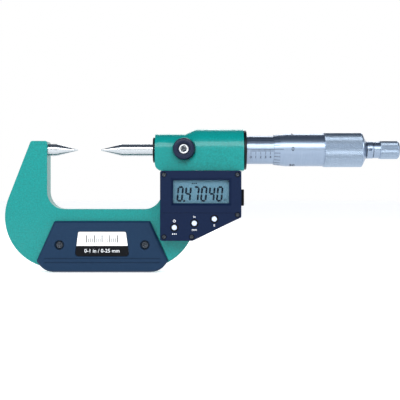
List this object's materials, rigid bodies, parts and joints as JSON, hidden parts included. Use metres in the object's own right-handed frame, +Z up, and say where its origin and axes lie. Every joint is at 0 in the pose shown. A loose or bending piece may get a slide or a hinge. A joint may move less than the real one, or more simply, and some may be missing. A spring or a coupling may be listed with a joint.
{
  "type": "point micrometer",
  "caption": "Hand-held digital point micrometer: C-frame with grip plates, conical anvil and spindle points, display box, graduated sleeve, thimble and ratchet stop.",
  "frame": {"origin": "below the middle of the whole instrument, on the surface that the grip plates stand on", "axes": "+X along the measuring axis from the anvil to the ratchet, -Y the display side, +Z up"},
  "size_m": [0.2062, 0.0274, 0.0746],
  "materials": {
    "frame_paint": "hammertone stoving enamel",
    "ground_steel": "ground and lapped",
    "inner_steel": "turned",
    "satin_chrome": "satin chrome",
    "blackened_steel": "blackened",
    "black_plastic": "moulded",
    "rubber": "matt",
    "grip_plastic": "fine moulded texture",
    "box_plastic": "fine moulded texture",
    "brass": "turned",
    "board": "solder mask",
    "flex_film": "film",
    "lcd_glass": "reflective display",
    "clear_window": "clear",
    "label_foil": "printed foil",
    "button_plastic": "moulded",
    "battery_steel": "nickel plated"
  },
  "bodies": {
    "frame": {"frame": "frame_paint", "anvil": "ground_steel", "spindle_bush": "inner_steel", "inner_sleeve": "inner_steel", "preload_spring": "inner_steel", "sleeve": "satin_chrome", "adjusting_nut": "blackened_steel", "box_screw_1": "blackened_steel", "box_screw_2": "blackened_steel", "cover_screw_1": "blackened_steel", "cover_screw_2": "blackened_steel", "cover_screw_3": "blackened_steel", "cover_screw_4": "blackened_steel", "cover_screw_5": "blackened_steel", "front_grip_screw_left": "blackened_steel", "front_grip_screw_right": "blackened_steel", "rear_grip_screw_left": "blackened_steel", "rear_grip_screw_right": "blackened_steel", "front_collar": "black_plastic", "rear_collar": "black_plastic", "data_port_socket": "black_plastic", "spindle_seal": "rubber", "cover_gasket": "rubber", "elastomer_strip": "rubber", "button_pad": "rubber", "battery_seal": "rubber", "front_grip_plate": "grip_plastic", "rear_grip_plate": "grip_plastic", "display_housing": "box_plastic", "display_cover": "box_plastic", "battery_contact": "brass", "circuit_board": "board", "encoder_stator": "board", "encoder_flex": "flex_film", "lcd_panel": "lcd_glass", "display_window": "clear_window", "range_label": "label_foil", "battery": "battery_steel"},
    "rotor": {"encoder_rotor": "board", "rotor_bush": "brass", "rotor_key": "inner_steel"},
    "spindle": {"spindle": "ground_steel", "thimble": "satin_chrome", "ratchet_body": "satin_chrome", "ratchet_screw": "blackened_steel", "ratchet_spring": "inner_steel"},
    "clutch": {"ratchet_clutch": "inner_steel"},
    "ratchet_knob": {"ratchet_knob": "satin_chrome"},
    "lock_knob": {"lock_knob": "box_plastic", "lock_screw": "inner_steel"},
    "lock_shoe": {"lock_shoe": "brass"},
    "set_button": {"set_button": "button_plastic"},
    "unit_button": {"unit_button": "button_plastic"},
    "zero_button": {"zero_button": "button_plastic"},
    "battery_cap": {"battery_cap": "black_plastic"},
    "port_cover": {"data_port_cover": "black_plastic"}
  },
  "joints": [
    {"name": "thimble_turn", "type": "hinge", "parent": "frame", "child": "rotor", "pos_m": [0, 0.0027, 0.0636], "axis": [1, 0, 0], "range_deg": [-6841, 7561]},
    {"name": "spindle_feed", "type": "slide", "parent": "rotor", "child": "spindle", "axis": [1, 0, 0], "range_m": [-0.01206, 0.01333]},
    {"name": "ratchet_turn", "type": "hinge", "parent": "spindle", "child": "ratchet_knob", "pos_m": [0.0963, 0.0027, 0.0636], "axis": [1, 0, 0], "continuous": true},
    {"name": "clutch_lift", "type": "slide", "parent": "spindle", "child": "clutch", "axis": [1, 0, 0], "range_m": [0, 0.0005], "stiffness_N_per_m": 600, "springref_m": -0.001},
    {"name": "lock_turn", "type": "hinge", "parent": "frame", "child": "lock_knob", "pos_m": [-0.00983, -0.008, 0.0636], "axis": [0, 1, 0], "range_deg": [0, 90.5]},
    {"name": "lock_press", "type": "slide", "parent": "frame", "child": "lock_shoe", "axis": [0, 1, 0], "range_m": [0, 0.000175]},
    {"name": "set_button_press", "type": "slide", "parent": "frame", "child": "set_button", "axis": [0, 1, 0], "range_m": [0, 0.0004], "stiffness_N_per_m": 800, "springref_m": -0.0005},
    {"name": "unit_button_press", "type": "slide", "parent": "frame", "child": "unit_button", "axis": [0, 1, 0], "range_m": [0, 0.0004], "stiffness_N_per_m": 800, "springref_m": -0.0005},
    {"name": "zero_button_press", "type": "slide", "parent": "frame", "child": "zero_button", "axis": [0, 1, 0], "range_m": [0, 0.0004], "stiffness_N_per_m": 800, "springref_m": -0.0005},
    {"name": "battery_cap_turn", "type": "hinge", "parent": "frame", "child": "battery_cap", "pos_m": [0.00797, 0.004, 0.0386], "axis": [0, 1, 0], "range_deg": [-60, 0]},
    {"name": "port_cover_pull", "type": "slide", "parent": "frame", "child": "port_cover", "axis": [1, 0, 0], "range_m": [0, 0.006]}
  ],
  "couplings": [
    {"joint": "thimble_turn", "follows": "spindle_feed", "rad_per_m": 9894.8},
    {"joint": "lock_turn", "follows": "lock_press", "rad_per_m": 8976}
  ]
}
